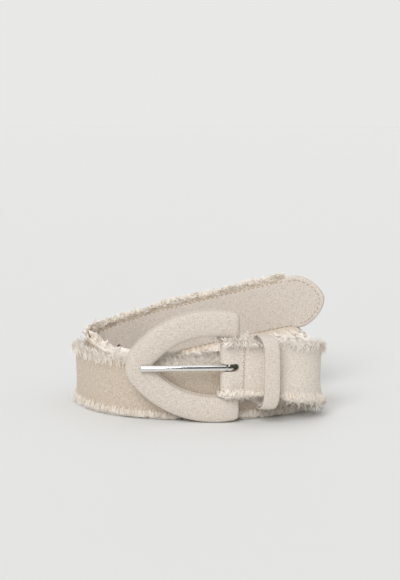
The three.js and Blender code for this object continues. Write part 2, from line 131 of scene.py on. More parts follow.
def distanceWhere(test):
    return routeAt[np.argmax(test(routeLine, routeAt))]


def ease(x, low, high):
    t = np.clip((x - low) / (high - low), 0, 1)
    return t * t * (3 - 2 * t)


def drift(x, step, seed):
    # a smooth random value from -1 to 1 that changes over about one step
    knots = np.random.default_rng(seed).uniform(-1, 1, 4096)
    t = np.asarray(x) / step + 512
    low = np.floor(t).astype(int)
    part = t - low
    part = part * part * (3 - 2 * part)
    return knots[low % 4096] * (1 - part) + knots[(low + 1) % 4096] * part


# Mesh helpers

def meshPoints(mesh):
    points = np.empty(len(mesh.vertices) * 3)
    mesh.vertices.foreach_get("co", points)
    return points.reshape(-1, 3)


def setPoints(mesh, points):
    mesh.vertices.foreach_set("co", points.astype(np.float32).ravel())
    mesh.update()


def toObject(bm, name):
    mesh = bpy.data.meshes.new(name)
    bm.to_mesh(mesh)
    bm.free()
    obj = bpy.data.objects.new(name, mesh)
    bpy.context.scene.collection.objects.link(obj)
    return obj


def repeatRow(bm, name, count, pitch):
    # copies of one small shape in a row along X
    obj = toObject(bm, name)
    row = obj.modifiers.new("row", "ARRAY")
    row.count = count
    row.use_relative_offset = False
    row.use_constant_offset = True
    row.constant_offset_displace = (pitch, 0, 0)
    applyModifiers(obj)
    return obj


def applyModifiers(obj):
    graph = bpy.context.evaluated_depsgraph_get()
    mesh = bpy.data.meshes.new_from_object(obj.evaluated_get(graph))
    obj.modifiers.clear()
    obj.data = mesh


def setAttribute(mesh, name, values):
    layer = mesh.attributes.new(name, "FLOAT", "POINT")
    layer.data.foreach_set("value", np.asarray(values, np.float32))


def setUv(mesh, across, upward):
    # metres of cloth, so that the weave keeps its size
    corner = np.empty(len(mesh.loops), np.int32)
    mesh.loops.foreach_get("vertex_index", corner)
    pairs = np.stack([across, upward], axis=1)[corner] * mm
    mesh.uv_layers.new(name="cloth").data.foreach_set("uv", pairs.astype(np.float32).ravel())


def finishPiece(obj, body, material, slot, *nodes, smooth=True):
    mesh = obj.data
    mesh.polygons.foreach_set("use_smooth", [smooth] * len(mesh.polygons))
    mesh.materials.append(material)
    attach(obj, body)
    if nodes:
        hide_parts(*nodes)
    return obj


# Materials

def node(tree, kind, **values):
    made = tree.nodes.new(kind)
    for key, value in values.items():
        if key in made.inputs:
            made.inputs[key].default_value = value
        else:
            setattr(made, key, value)
    return made


def math2(tree, operation, a, b=None):
    made = node(tree, "ShaderNodeMath", operation=operation)
    for socket, value in zip(made.inputs, (a, b)):
        if value is None:
            continue
        if isinstance(value, (int, float)):
            socket.default_value = value
        else:
            tree.links.new(value, socket)
    return made.outputs[0]


def mixColour(tree, factor, a, b):
    made = node(tree, "ShaderNodeMix", data_type="RGBA", blend_type="MIX")
    for socket, value in zip((made.inputs[0], made.inputs[6], made.inputs[7]), (factor, a, b)):
        if isinstance(value, (int, float)):
            socket.default_value = value
        elif isinstance(value, tuple):
            socket.default_value = (*value, 1)
        else:
            tree.links.new(value, socket)
    return made.outputs[2]


def remap(tree, value, low, high, toLow=0, toHigh=1):
    made = node(tree, "ShaderNodeMapRange", interpolation_type="SMOOTHSTEP")
    tree.links.new(value, made.inputs[0])
    for socket, number in zip(made.inputs[1:5], (low, high, toLow, toHigh)):
        socket.default_value = number
    return made.outputs[0]


def noise(tree, vector, scale, stretch=(1, 1, 1), detail=3, roughness=0.55):
    place = node(tree, "ShaderNodeMapping")
    place.inputs["Scale"].default_value = stretch
    tree.links.new(vector, place.inputs["Vector"])
    made = node(tree, "ShaderNodeTexNoise", Scale=scale, Detail=detail, Roughness=roughness)
    tree.links.new(place.outputs[0], made.inputs["Vector"])
    return made.outputs["Fac"]


def newGroup(name, inputs, outputs):
    group = bpy.data.node_groups.new(name, "ShaderNodeTree")
    for label, kind in inputs:
        group.interface.new_socket(label, in_out="INPUT", socket_type=kind)
    for label, kind in outputs:
        group.interface.new_socket(label, in_out="OUTPUT", socket_type=kind)
    return group, group.nodes.new("NodeGroupInput").outputs, group.nodes.new("NodeGroupOutput").inputs


weave = {
    "yarn": 0.62 * mm,             # one warp and one weft to this pitch
}


def makeWeaveGroup():
    # plain weave seen close, slubs and flecks seen from further off
    tree, given, made = newGroup(
        "plainWeave",
        [("Cloth", "NodeSocketVector")],
        [("Height", "NodeSocketFloat"), ("Shade", "NodeSocketFloat"), ("Fleck", "NodeSocketFloat"),
         ("Pale", "NodeSocketFloat")],
    )
    cloth = given["Cloth"]
    apart = node(tree, "ShaderNodeSeparateXYZ")
    wander = noise(tree, cloth, 260, detail=2)
    tree.links.new(cloth, apart.inputs[0])
    bend = math2(tree, "MULTIPLY", math2(tree, "SUBTRACT", wander, 0.5), 0.9 * mm)
    turns = []
    for k in range(2):
        along = math2(tree, "ADD", apart.outputs[k], bend)
        turns.append(math2(tree, "MULTIPLY", along, math.pi / weave["yarn"]))
    warpRound = math2(tree, "ABSOLUTE", math2(tree, "SINE", turns[0]))
    weftRound = math2(tree, "ABSOLUTE", math2(tree, "SINE", turns[1]))
    # over and under: the sign of both counts together
    parity = math2(tree, "MULTIPLY", math2(tree, "SINE", turns[0]), math2(tree, "SINE", turns[1]))
    over = remap(tree, parity, -0.25, 0.25)
    warpSlub = noise(tree, cloth, 1, (2200, 300, 1))
    weftSlub = noise(tree, cloth, 1, (300, 2200, 1))
    warpHeight = math2(tree, "MULTIPLY", warpRound, math2(tree, "ADD", over, warpSlub))
    weftHeight = math2(tree, "MULTIPLY", weftRound,
                       math2(tree, "ADD", math2(tree, "SUBTRACT", 1.0, over), weftSlub))
    height = math2(tree, "MAXIMUM", warpHeight, weftHeight)
    tree.links.new(height, made["Height"])
    slubs = math2(tree, "MULTIPLY", math2(tree, "ADD", warpSlub, weftSlub), 0.5)
    patch = noise(tree, cloth, 900, detail=4, roughness=0.7)
    shade = math2(tree, "ADD", math2(tree, "MULTIPLY", slubs, 0.6), math2(tree, "MULTIPLY", patch, 0.4))
    tree.links.new(shade, made["Shade"])
    fleckWarp = noise(tree, cloth, 1, (1900, 420, 1), detail=1)
    fleckWeft = noise(tree, cloth, 1, (460, 1800, 1), detail=1)
    flecks = (remap(tree, fleckWarp, 0.66, 0.74), remap(tree, fleckWeft, 0.67, 0.75))
    tree.links.new(math2(tree, "MAXIMUM", *flecks), made["Fleck"])
    paleWeft = noise(tree, cloth, 1, (380, 1500, 1), detail=2)
    tree.links.new(remap(tree, paleWeft, 0.58, 0.72), made["Pale"])
    return tree


weaveGroup = makeWeaveGroup()

linen = {
    # each cloth: the top of its yarns, and the shade between them
    "face": ((0.845, 0.782, 0.705), (0.655, 0.570, 0.482)),
    # the lining is the same cloth as the face, made darker and warmer as painted shade for the inside of the
    # coil
    "lining": ((0.715, 0.625, 0.530), (0.515, 0.412, 0.315)),
    "buckle": ((0.795, 0.725, 0.648), (0.580, 0.505, 0.425)),
    "keeper": ((0.765, 0.700, 0.625), (0.600, 0.525, 0.440)),
    # each loose yarn: its root, darkened as painted shade where the yarns crowd, and its end
    "fringe": ((0.690, 0.560, 0.430), (0.930, 0.870, 0.790)),
    "fuzz": ((0.84, 0.74, 0.62), (0.96, 0.91, 0.84)),
    "stitch": ((0.400, 0.300, 0.210), (0.400, 0.300, 0.210)),
    "fleck": (0.230, 0.150, 0.095),
    "pale": (0.860, 0.800, 0.730),
    # the tan of the painted shade at the yarn roots, also used for yarns darker at random and for the
    # painted shade round the holes
    "root": (0.690, 0.560, 0.430),
    "felt": (0.42, 0.37, 0.31),
    "moulded": (0.60, 0.56, 0.50),
}


def clothShader(name, sheen=0.25):
    material = bpy.data.materials.new(name)
    material.use_nodes = True
    tree = material.node_tree
    shader = tree.nodes["Principled BSDF"]
    shader.inputs["Roughness"].default_value = 0.92
    shader.inputs["Specular IOR Level"].default_value = 0.2
    shader.inputs["Sheen Weight"].default_value = sheen
    shader.inputs["Sheen Roughness"].default_value = 0.55
    shader.inputs["Sheen Tint"].default_value = (0.95, 0.9, 0.84, 1)
    return material, tree, shader


def makeLinen(name, base, deep, flecks=0.75, pales=0.55, bumps=0.35, holeRimShade=None):
    material, tree, shader = clothShader(name)
    uv = node(tree, "ShaderNodeUVMap", uv_map="cloth")
    cloth = node(tree, "ShaderNodeGroup", node_tree=weaveGroup)
    tree.links.new(uv.outputs[0], cloth.inputs["Cloth"])
    shade = remap(tree, cloth.outputs["Shade"], 0.38, 0.62)
    colour = mixColour(tree, shade, deep, base)
    colour = mixColour(tree, math2(tree, "MULTIPLY", cloth.outputs["Pale"], pales), colour, linen["pale"])
    colour = mixColour(tree, math2(tree, "MULTIPLY", cloth.outputs["Fleck"], flecks), colour, linen["fleck"])
    groove = remap(tree, cloth.outputs["Height"], 0.15, 0.75)
    shadow = math2(tree, "MULTIPLY", math2(tree, "SUBTRACT", 1.0, groove), 0.35)
    colour = mixColour(tree, shadow, colour, deep)
    # painted shade round each hole's rim: the cloth there is mixed toward the tan of the shaded yarn roots
    if holeRimShade:
        rimShadeMask = node(tree, "ShaderNodeAttribute", attribute_name=holeRimShade)
        colour = mixColour(tree, rimShadeMask.outputs["Fac"], colour, linen["root"])
    tree.links.new(colour, shader.inputs["Base Color"])
    bump = node(tree, "ShaderNodeBump", Strength=bumps, Distance=0.25 * mm)
    tree.links.new(cloth.outputs["Height"], bump.inputs["Height"])
    tree.links.new(bump.outputs[0], shader.inputs["Normal"])
    return material


def makeYarn(name, root, tip, spread=0.5):
    # reach runs from 0 at a yarn's root to 1 at its end, and the colour darkens toward the root as painted
    # shade; tone differs from yarn to yarn
    material, tree, shader = clothShader(name, sheen=0.3)
    reach = node(tree, "ShaderNodeAttribute", attribute_name="reach").outputs["Fac"]
    tone = node(tree, "ShaderNodeAttribute", attribute_name="tone").outputs["Fac"]
    place = node(tree, "ShaderNodeTexCoord").outputs["Object"]
    grain = noise(tree, place, 2600, detail=2)
    # painted shade at the root, fading out about halfway along the yarn
    fade = remap(tree, reach, 0.02, 0.55)
    colour = mixColour(tree, fade, root, tip)
    darker = math2(tree, "MULTIPLY", remap(tree, tone, 0.55, 1.0), spread)
    colour = mixColour(tree, darker, colour, linen["root"])
    paler = math2(tree, "MULTIPLY", remap(tree, grain, 0.4, 0.7), 0.25)
    colour = mixColour(tree, paler, colour, linen["pale"])
    tree.links.new(colour, shader.inputs["Base Color"])
    return material


def makeSteel(name):
    material = bpy.data.materials.new(name)
    material.use_nodes = True
    tree = material.node_tree
    shader = tree.nodes["Principled BSDF"]
    shader.inputs["Metallic"].default_value = 1
    place = node(tree, "ShaderNodeTexCoord").outputs["Object"]
    brushed = noise(tree, place, 1, (60, 4000, 4000), detail=3)
    smudge = noise(tree, place, 180, detail=3)
    colour = mixColour(tree, smudge, (0.80, 0.79, 0.785), (0.87, 0.865, 0.86))
    tree.links.new(colour, shader.inputs["Base Color"])
    tree.links.new(remap(tree, smudge, 0.3, 0.75, 0.07, 0.17), shader.inputs["Roughness"])
    bump = node(tree, "ShaderNodeBump", Strength=0.06, Distance=0.05 * mm)
    tree.links.new(brushed, bump.inputs["Height"])
    tree.links.new(bump.outputs[0], shader.inputs["Normal"])
    return material


def makeFelt(name, base):
    material, tree, shader = clothShader(name)
    place = node(tree, "ShaderNodeTexCoord").outputs["Object"]
    fibres = noise(tree, place, 1500, detail=4)
    tree.links.new(mixColour(tree, fibres, tuple(0.7 * c for c in base), base), shader.inputs["Base Color"])
    return material


faceLinen = makeLinen("faceLinen", *linen["face"], holeRimShade="holeRimShade")
liningLinen = makeLinen("liningLinen", *linen["lining"], holeRimShade="holeRimShade")
buckleLinen = makeLinen("buckleLinen", *linen["buckle"], flecks=0.6)
keeperLinen = makeLinen("keeperLinen", *linen["keeper"], flecks=0.5)
fringeYarn = makeYarn("fringeYarn", *linen["fringe"])
fuzzYarn = makeYarn("fuzzYarn", *linen["fuzz"], spread=0.2)
stitchYarn = makeYarn("stitchYarn", *linen["stitch"], spread=0.3)
steel = makeSteel("polishedSteel")
felt = makeFelt("stiffener", linen["felt"])
moulded = makeFelt("mouldedFormer", linen["moulded"])


# Strap

strap = {
    "woven": 17.4,                 # half width that is still woven
    "ply": 0.9,
    "core": 0.8,
    "gap": 0.3,
    "tipLength": 20.0,
    "tipHalf": 19.0,
    "frayEnd": 25.0,               # from the very end to the last loose yarn
    "tipEase": 8.0,
    "tipFullness": 1.6,
    "tipBluntness": 0.62,
    "stepAlong": 1.25,
    "stepsAcross": 26,
    "firstHole": 72.0,
    "holePitch": 22.0,
    "holes": 5,
    "holeRadius": 1.9,
    "seamPinch": 0.35,             # the sewing draws each ply in by this much
}
faceOut = strap["core"] / 2 + strap["gap"] + strap["ply"]
faceIn = faceOut - strap["ply"]
barX, barY, barZ = (Vector(route["bar"]) + shift)
runStart = route["tail"] + math.pi * route["wrapRadius"]
foldEnd = distanceWhere(lambda p, s: (s > runStart) & (p[:, 0] >= barX + 14))
pressEnd = distanceWhere(lambda p, s: (s > runStart) & (p[:, 0] >= barX + 40))
tailSeam = distanceWhere(lambda p, s: p[:, 0] <= barX + 10)
seamAt = distanceWhere(lambda p, s: (s > runStart) & (p[:, 0] >= barX + 10))
holeAt = [strapLength - strap["firstHole"] - k * strap["holePitch"] for k in range(strap["holes"])]


def pointHalf(fromEnd, half, length):
    t = np.clip(fromEnd / length, 0.004, 1)
    return half * (1 - (1 - t) ** strap["tipFullness"]) ** strap["tipBluntness"]


def wovenHalf(s):
    fromEnd = strapLength - s
    half, length, frayEnd = strap["tipHalf"], strap["tipLength"], strap["frayEnd"]
    wide = half + (strap["woven"] - half) * ease(fromEnd, frayEnd, frayEnd + strap["tipEase"])
    return np.where(fromEnd < length, pointHalf(fromEnd, half, length), wide)


def pinch(s, height):
    # plies draw together where the seam runs along each edge
    edge = wovenHalf(s) - np.abs(height)
    return strap["seamPinch"] * (1 - ease(edge, 0.0, 1.6))


def cloth3d(s, height):
    # gentle unevenness of hand-laid cloth, the same for both plies
    return 0.22 * drift(s + 0.7 * height, 23, 3) + 0.10 * drift(s - 1.3 * height, 9, 4)


def cutters():
    bm = bmesh.new()
    for at in holeAt:
        turn = Matrix.Translation((at, 0, 0)) @ Matrix.Rotation(math.pi / 2, 4, "X")
        bmesh.ops.create_cone(bm, cap_ends=True, segments=24, radius1=strap["holeRadius"],
                              radius2=strap["holeRadius"], depth=8, matrix=turn)
    # the prong's slot, as far along the strap on both sides of the bar
    middle = route["tail"] + math.pi * route["wrapRadius"] / 2
    half = math.pi * route["wrapRadius"] / 2 + prong["slotReach"] - prong["slotHalf"]
    turn = Matrix.Translation((middle, 0, 0)) @ Matrix.Rotation(math.pi / 2, 4, "X")
    ends = bmesh.ops.create_cone(bm, cap_ends=True, segments=24, radius1=prong["slotHalf"],
                                 radius2=prong["slotHalf"], depth=8.2, matrix=turn)["verts"]
    for v in ends:
        v.co.x += half if v.co.x > middle else -half
    return toObject(bm, "cutters")


prong = {
    "radius": 2.1,
    "length": 58.6,
    "wall": 1.9,
    "curlTop": -0.1,               # the wire is flattened to half its height where it curls round the bar
    "play": 0.3,
    "slotHalf": 2.6,
    "slotReach": 7.3,
    "barRadius": 2.0,
}


def applyBoolean(obj, cutter):
    cut = obj.modifiers.new("cut", "BOOLEAN")
    cut.operation = "DIFFERENCE"
    cut.solver = "EXACT"
    cut.object = cutter
    applyModifiers(obj)


def makePly(name, inner, outer, cutter, nodeName, material):
    bm = bmesh.new()
    steps = round(strapLength / strap["stepAlong"])
    turn = Matrix.Rotation(math.pi / 2, 4, "X")
    bmesh.ops.create_grid(bm, x_segments=steps, y_segments=strap["stepsAcross"], size=0.5, matrix=turn)
    for v in bm.verts:
        s = (v.co.x + 0.5) * strapLength
        v.co = (s, -outer, 2 * v.co.z * float(wovenHalf(s)))
    bmesh.ops.recalc_face_normals(bm, faces=bm.faces)
    bmesh.ops.solidify(bm, geom=bm.faces[:], thickness=0.001)
    depths = sorted({round(v.co.y, 6) for v in bm.verts})
    middle = (depths[0] + depths[-1]) / 2
    for v in bm.verts:
        v.co.y = -outer if v.co.y < middle else -inner
    obj = toObject(bm, name)
    applyBoolean(obj, cutter)
    flat = meshPoints(obj.data)
    setUv(obj.data, flat[:, 0], flat[:, 2])
    # painted shade round the rim of each hole, strongest at its edge and gone within about a millimetre
    nearHole = np.min([np.hypot(flat[:, 0] - at, flat[:, 2]) for at in holeAt], axis=0) - strap["holeRadius"]
    setAttribute(obj.data, "holeRimShade", 0.75 * (1 - ease(nearHole, 0.05, 0.9)))
    drawn = pinch(flat[:, 0], flat[:, 2]) * np.sign(flat[:, 1])
    flat[:, 1] += -drawn + cloth3d(flat[:, 0], flat[:, 2]) * ease(flat[:, 0], foldEnd, foldEnd + 30)
    setPoints(obj.data, onRoute(flat) * mm)
    return finishPiece(obj, "strap", material, "cloth", nodeName)


cutter = cutters()
faceCloth = makePly("faceCloth", faceIn, faceOut, cutter, "strap_face", faceLinen)
makePly("liningCloth", -faceOut, -faceIn, cutter, "strap_lining", liningLinen)
bpy.data.objects.remove(cutter)
print("strap cloth", len(faceCloth.data.polygons), "faces a ply")


# Fringe: loose weft ends along both edges of each ply

fringe = {
    "length": 8.3,
    "held": 3.0,                   # less beside the keeper
    "front": 0.6,                  # more at the turn on the right
    "tip": 1.6,                    # less on the free end
    "tipFrom": 150, "tipTo": 190,  # where the free end's lengths fade out, from its tip
    "under": 0.6,                  # more under the free end
    "combed": 6.0,                 # and more again where they hang long near its tip
    "combedFrom": 68, "combedTo": 84,
    "neatFrom": 205, "neatTo": 245,  # the free end's yarns stand straighter, from its tip
    "brushedFrom": 62, "brushedTo": 80,
    "brushed": 0.62,               # lean of the yarns brushed toward the tip
    "bent": 0.65,                  # extra thickness of the yarns away from the free end
    "tuft": 3.4,                   # width of a tuft along the strap
    "lie": 0.3,                    # height of the yarns that lie on the floor
    "yarns": {"pitch": 0.34, "radius": 0.135, "rings": 9, "sides": 4, "reach": 0.95, "curl": 1.1,
              "jitter": 0.3, "stray": 0.6, "narrow": 0.45, "root": 0.9, "droop": 0.8},
    "fuzz": {"pitch": 0.135, "radius": 0.055, "rings": 6, "sides": 3, "reach": 1.15, "curl": 1.5,
             "jitter": 0.6, "stray": 1.0, "narrow": 0.3, "root": 0.7, "droop": 1.0},
}


def oneStrand(radius, rings, sides):
    # a strand of length 1, drawn up from a circle
    bm = bmesh.new()
    bmesh.ops.create_circle(bm, cap_ends=True, segments=sides, radius=radius)
    faces = bm.faces[:]
    for k in range(rings - 1):
        grown = bmesh.ops.extrude_face_region(bm, geom=faces)
        top = [g for g in grown["geom"] if isinstance(g, bmesh.types.BMVert)]
        if k:
            bmesh.ops.delete(bm, geom=faces, context="FACES_ONLY")
        faces = [g for g in grown["geom"] if isinstance(g, bmesh.types.BMFace)]
        bmesh.ops.translate(bm, verts=top, vec=(0, 0, 1 / (rings - 1)))
    bmesh.ops.recalc_face_normals(bm, faces=bm.faces)
    return bm


def fringeLength(s, edge):
    # shorter under the keeper and where the tip is cut clean, longest under the free end
    fromEnd = strapLength - s
    held = (1 - ease(s, pressEnd - 4, pressEnd + 4)) * ease(s, foldEnd - 2, foldEnd + 4)
    front = ease(s, pressEnd - 2, pressEnd + 6) * (1 - ease(s, 110, 150))
    free = 1 - ease(fromEnd, fringe["tipFrom"], fringe["tipTo"])
    room = fringe["length"] - fringe["held"] * held + fringe["front"] * front - fringe["tip"] * free
    if edge < 0:
        room = room + fringe["under"] * free + fringe["combed"] * (
            1 - ease(fromEnd, fringe["combedFrom"], fringe["combedTo"]))
    return room * ease(fromEnd, strap["frayEnd"] - 1, strap["frayEnd"] + 3)


def layStrands(obj, edge, ply, settings, start, stop):
    pitch, curl = settings["pitch"], settings["curl"]
    flat = meshPoints(obj.data)
    t = flat[:, 2]
    index = np.round(flat[:, 0] / pitch).astype(int)
    count = index.max() + 1
    rnd = np.random.default_rng(settings["seed"])
    traits = ("shift", "size", "lean", "tilt", "phase", "turns", "bow", "tone", "droop")
    v = {k: rnd.uniform(-1, 1, count)[index] for k in traits}
    s = start + flat[:, 0] * (stop - start) / (count * pitch) + settings["jitter"] * v["shift"]
    fromEnd = strapLength - s
    onTip = 1 - ease(fromEnd, fringe["neatFrom"], fringe["neatTo"])
    combed = onTip * (edge < 0) * (1 - ease(fromEnd, fringe["brushedFrom"], fringe["brushedTo"]))
    tuft = drift(s, fringe["tuft"], settings["seed"] + 1)
    wide = drift(s, 3 * fringe["tuft"], settings["seed"] + 2)
    length = fringeLength(s, edge) * settings["reach"] * (0.80 + 0.22 * v["size"] + 0.20 * tuft)
    lean = 0.30 * (wide + tuft) * (1 - 0.8 * combed)
    lean = lean + settings["stray"] * v["lean"] * (1 - 0.7 * combed)
    lean = lean * (1 - 0.45 * onTip) + fringe["brushed"] * combed
    swirl = curl * (0.55 + 0.45 * v["bow"]) * t ** 0.8 * (1.45 - 0.95 * onTip) * (1 - 0.5 * combed)
    angle = math.pi * (v["phase"] + (1.5 + 0.9 * v["turns"]) * t)
    # some ends fall back over the cloth, more of them where the strap stands straight
    droop = ease(v["droop"], -1.1, 0.7) * (1 - 0.8 * onTip) * settings["droop"]
    inWindow = (1 - ease(s, foldEnd + 6, foldEnd + 14)) * ease(s, runStart - 4, runStart + 1)
    side = np.sign(-ply)
    fan = (0.10 + 0.25 * v["tilt"] + 0.12 * drift(s, 5, settings["seed"] + 3)) * length * t ** 1.4
    fan = fan + droop * (0.6 + 1.7 * np.sin(np.pi * np.clip(t, 0, 1)) + 0.4 * t)
    fan = fan + inWindow * 2.6 * ease(t, 0, 0.45) * (1.0 if ply > 0 else -0.6)
    upright = t * (1 - 0.22 * np.minimum(np.abs(lean), 1) - 0.12 * t * (1 + v["bow"]))
    falling = 0.55 * np.sin(0.9 * np.pi * t) - 0.42 * t ** 2
    rise = length * ((1 - droop) * upright + droop * falling) * (1 - 0.25 * inWindow)
    rise = rise + 0.5 * swirl * np.cos(angle)
    height = wovenHalf(s) - settings["root"] - 0.9 * droop + rise
    thin = (1 - settings["narrow"] * t) * (1 + fringe["bent"] * (1 - onTip))
    x = s + length * lean * t ** 1.2 + swirl * np.sin(angle) + (flat[:, 0] - index * pitch) * thin
    y = side * (abs(ply) + fan) + swirl * 0.6 * np.cos(angle + 1) + flat[:, 1] * thin
    y = y + cloth3d(s, edge * wovenHalf(s)) * ease(s, foldEnd, foldEnd + 30)
    place = onRoute(np.stack([x, y, edge * height], axis=1))
    low = place[:, 2] < fringe["lie"]
    place[low, 2] = fringe["lie"] + 0.12 * np.minimum(fringe["lie"] - place[low, 2], 4)
    setPoints(obj.data, place * mm)
    # how far along each yarn, which sets its painted root shade; the free end's neat yarns are held in more
    # of it
    setAttribute(obj.data, "reach", t * (1 - 0.6 * onTip * (1 - combed)))
    setAttribute(obj.data, "tone", 0.5 + 0.5 * v["tone"])


rowStart = foldEnd + 4
fringeStart = 1.0
fringeStop = strapLength - strap["frayEnd"]
plies = {"Face": faceOut - 0.45, "Lining": -(faceOut - 0.45)}


def makeFringe():
    seed = 100
    run = fringeStop - fringeStart
    for label, material in (("yarns", fringeYarn), ("fuzz", fuzzYarn)):
        settings = fringe[label]
        for edge, edgeName in ((1, "upper"), (-1, "lower")):
            for plyName, ply in plies.items():
                seed += 10
                count = round(run / settings["pitch"])
                strand = oneStrand(settings["radius"], settings["rings"], settings["sides"])
                obj = repeatRow(strand, edgeName + plyName + label.capitalize(), count, settings["pitch"])
                layStrands(obj, edge, ply, {**settings, "seed": seed}, fringeStart, fringeStop)
                finishPiece(obj, "strap", material, "cloth", smooth=False)
    print("fringe laid")


makeFringe()

for name, material in (("strap_core", felt), ("buckle_frame", moulded), ("keeper_core", felt)):
    coreMesh = frame["nodes"][name].data
    coreMesh.materials.clear()
    coreMesh.materials.append(material)


# Sewing

sewing = {
    "stitch": 2.7,
    "gap": 0.8,
    "radius": 0.30,
    "height": 16.5,
    "tipInset": 3.0,
    "proud": 0.12,                 # how far the thread stands out of the cloth
}


def oneStitch(length, radius):
    bm = bmesh.new()
    bmesh.ops.create_uvsphere(bm, u_segments=8, v_segments=6, radius=1,
                              matrix=Matrix.Rotation(math.pi / 2, 4, "Y"))
    bmesh.ops.scale(bm, vec=(length / 2, radius, radius), verts=bm.verts)
    return bm


def sewRow(name, path, side, nodeName, pitch=None, slant=0.0, length=None):
    # path is flat (along, across) points; the chain runs along it from its start
    path = np.array(path, float)
    steps = np.linalg.norm(np.diff(path, axis=0), axis=1)
    at = np.concatenate([[0], np.cumsum(steps)])
    pitch = pitch or sewing["stitch"] + sewing["gap"]
    length = length or sewing["stitch"]
    count = max(int((at[-1] - length) / pitch) + 1, 1)
    obj = repeatRow(oneStitch(length, sewing["radius"]), name, count, pitch)
    flat = meshPoints(obj.data)
    index = np.round(flat[:, 0] / pitch).astype(int)
    local = flat[:, 0] - index * pitch
    tilt = slant * np.where(index % 2, -1, 1) + 0.05 * drift(index * 7.3, 1, 77)
    walk = index * pitch + length / 2 + local * np.cos(tilt) - flat[:, 2] * np.sin(tilt)
    off = local * np.sin(tilt) + flat[:, 2] * np.cos(tilt) + 0.12 * drift(index * 5.1, 1, 78)
    s = np.interp(walk, at, path[:, 0])
    w = np.interp(walk, at, path[:, 1])
    ds = np.gradient(path[:, 0], at)
    dw = np.gradient(path[:, 1], at)
    alongS, alongW = np.interp(walk, at, ds), np.interp(walk, at, dw)
    size = np.hypot(alongS, alongW)
    s = s - off * alongW / size
    w = w + off * alongS / size
    # each stitch dips into the cloth at both ends
    sunk = (np.abs(local) / (length / 2)) ** 2 * (sewing["radius"] + 0.15)
    surface = faceOut - pinch(s, w) + sewing["proud"] - sunk
    y = -side * surface + flat[:, 1]
    y = y + cloth3d(s, w) * ease(s, foldEnd, foldEnd + 30)
    setAttribute(obj.data, "reach", np.abs(local) / length)
    setAttribute(obj.data, "tone", 0.5 + 0.5 * drift(index * 3.7, 1, 79))
    setPoints(obj.data, onRoute(np.stack([s, y, w], axis=1)) * mm)
    return finishPiece(obj, "strap", stitchYarn, "thread", nodeName)


def tipPath():
    reach = strap["tipLength"] - sewing["tipInset"]
    t = np.linspace(1, 0, 40) ** 2
    half = pointHalf(t * reach, strap["tipHalf"] - sewing["tipInset"], reach)
    s = strapLength - sewing["tipInset"] - t * reach
    upper = np.stack([s, half], axis=1)
    start = [[fringeStop + 1.2, upper[0, 1]]]
    return np.vstack([start, upper, (upper * (1, -1))[::-1], [[start[0][0], -start[0][1]]]])


def makeSewing():
    row = np.linspace(rowStart, fringeStop, 400)
    for label, side in (("needle", 1), ("bobbin", -1)):
        for edgeName, edge in (("upper", 1), ("lower", -1)):
            path = np.stack([row, edge * sewing["height"] + 0 * row], axis=1)
            sewRow(f"{label}Stitches{edgeName.capitalize()}", path, side, f"{label}_thread_{edgeName}")
        sewRow(f"{label}StitchesTip", tipPath(), side, f"{label}_thread_tip")
    seam = np.linspace(-15, 15, 40)
    for label, at in (("needle", seamAt), ("bobbin", tailSeam)):
        path = np.stack([at + 0 * seam, seam], axis=1)
        sewRow(f"{label}StitchesFold", path, 1, f"fold_{label}_thread", pitch=1.7, slant=1.05, length=2.6)
    print("sewing done")


makeSewing()


# Buckle: cloth drawn over a pointed arch

arch = {
    "arm": 17.0,
    "outer": 69.3,                 # radius of each outer side
    "length": 75.0,
    "halfHeight": 37.7,
    "apex": 18.0,
    "corner": 4.0,
    "innerCorner": 3.0,
    "windowApex": 2.0,
    "barToEnd": 6.8,
    "thickness": 5.4,
    "cover": 0.9,
    "gap": 0.3,
    "rise": 2.2,
    "run": 7.9,                    # from an edge to the top of the dome
    "backing": 0.9,
    "overhang": 0.5,
    "detail": 2,                   # times the steps in each arc
}


def archOutline(inset):
    least = 0.3
    a = arch
    drop = a["outer"] - a["halfHeight"]
    endX = a["barToEnd"] - inset
    pullApex = math.sqrt((a["outer"] - a["apex"]) ** 2 - drop ** 2)
    centreX = a["barToEnd"] - a["length"] + a["apex"] + pullApex
    outer, inner = a["outer"] - inset, a["outer"] - a["arm"] + inset
    corner, innerCorner = max(a["corner"] - inset, least), max(a["innerCorner"] - inset, least)
    windowApex = a["windowApex"] + inset

    def away(radius, x):
        return math.sqrt(radius ** 2 - (x - centreX) ** 2)

    def pull(radius):
        return math.sqrt(radius ** 2 - drop ** 2)

    def sweep(x, z, radius, start, stop, steps):
        turns = np.linspace(start, stop, steps * a["detail"] + 1)
        return [(x + radius * math.cos(t), z + radius * math.sin(t)) for t in turns]

    half = math.pi
    cornerX, innerX = endX - corner, endX - innerCorner
    cornerRise, innerRise = away(outer - corner, cornerX), away(inner + innerCorner, innerX)
    cornerTurn = math.atan2(cornerRise, cornerX - centreX)
    innerTurn = math.atan2(innerRise, centreX - innerX)
    apexTurn = math.atan2(drop, pull(outer - (a["apex"] - inset)))
    windowTurn = math.atan2(drop, pull(inner - windowApex))
    apexX = centreX - pull(a["outer"] - a["apex"])
    windowX = centreX - pull(inner - windowApex)
    apex = a["apex"] - inset
    points = [
        *sweep(cornerX, cornerRise - drop, corner, 0, cornerTurn, 4),
        *sweep(centreX, -drop, outer, cornerTurn, half - apexTurn, 14)[1:],
        *sweep(apexX, 0, apex, half - apexTurn, half + apexTurn, 8)[1:],
        *sweep(centreX, drop, outer, half + apexTurn, 2 * half - cornerTurn, 14)[1:],
        *sweep(cornerX, drop - cornerRise, corner, 2 * half - cornerTurn, 2 * half, 4)[1:],
        *sweep(innerX, drop - innerRise, innerCorner, 0, innerTurn, 4),
        *sweep(centreX, drop, inner, innerTurn - half, windowTurn - half, 12)[1:],
        *sweep(windowX, 0, windowApex, half + windowTurn, half - windowTurn, 5)[1:],
        *sweep(centreX, -drop, inner, half - windowTurn, half - innerTurn, 12)[1:],
        *sweep(innerX, innerRise - drop, innerCorner, 2 * half - innerTurn, 2 * half, 4)[1:],
    ]
    return [(barX + x, barZ + z) for x, z in points]


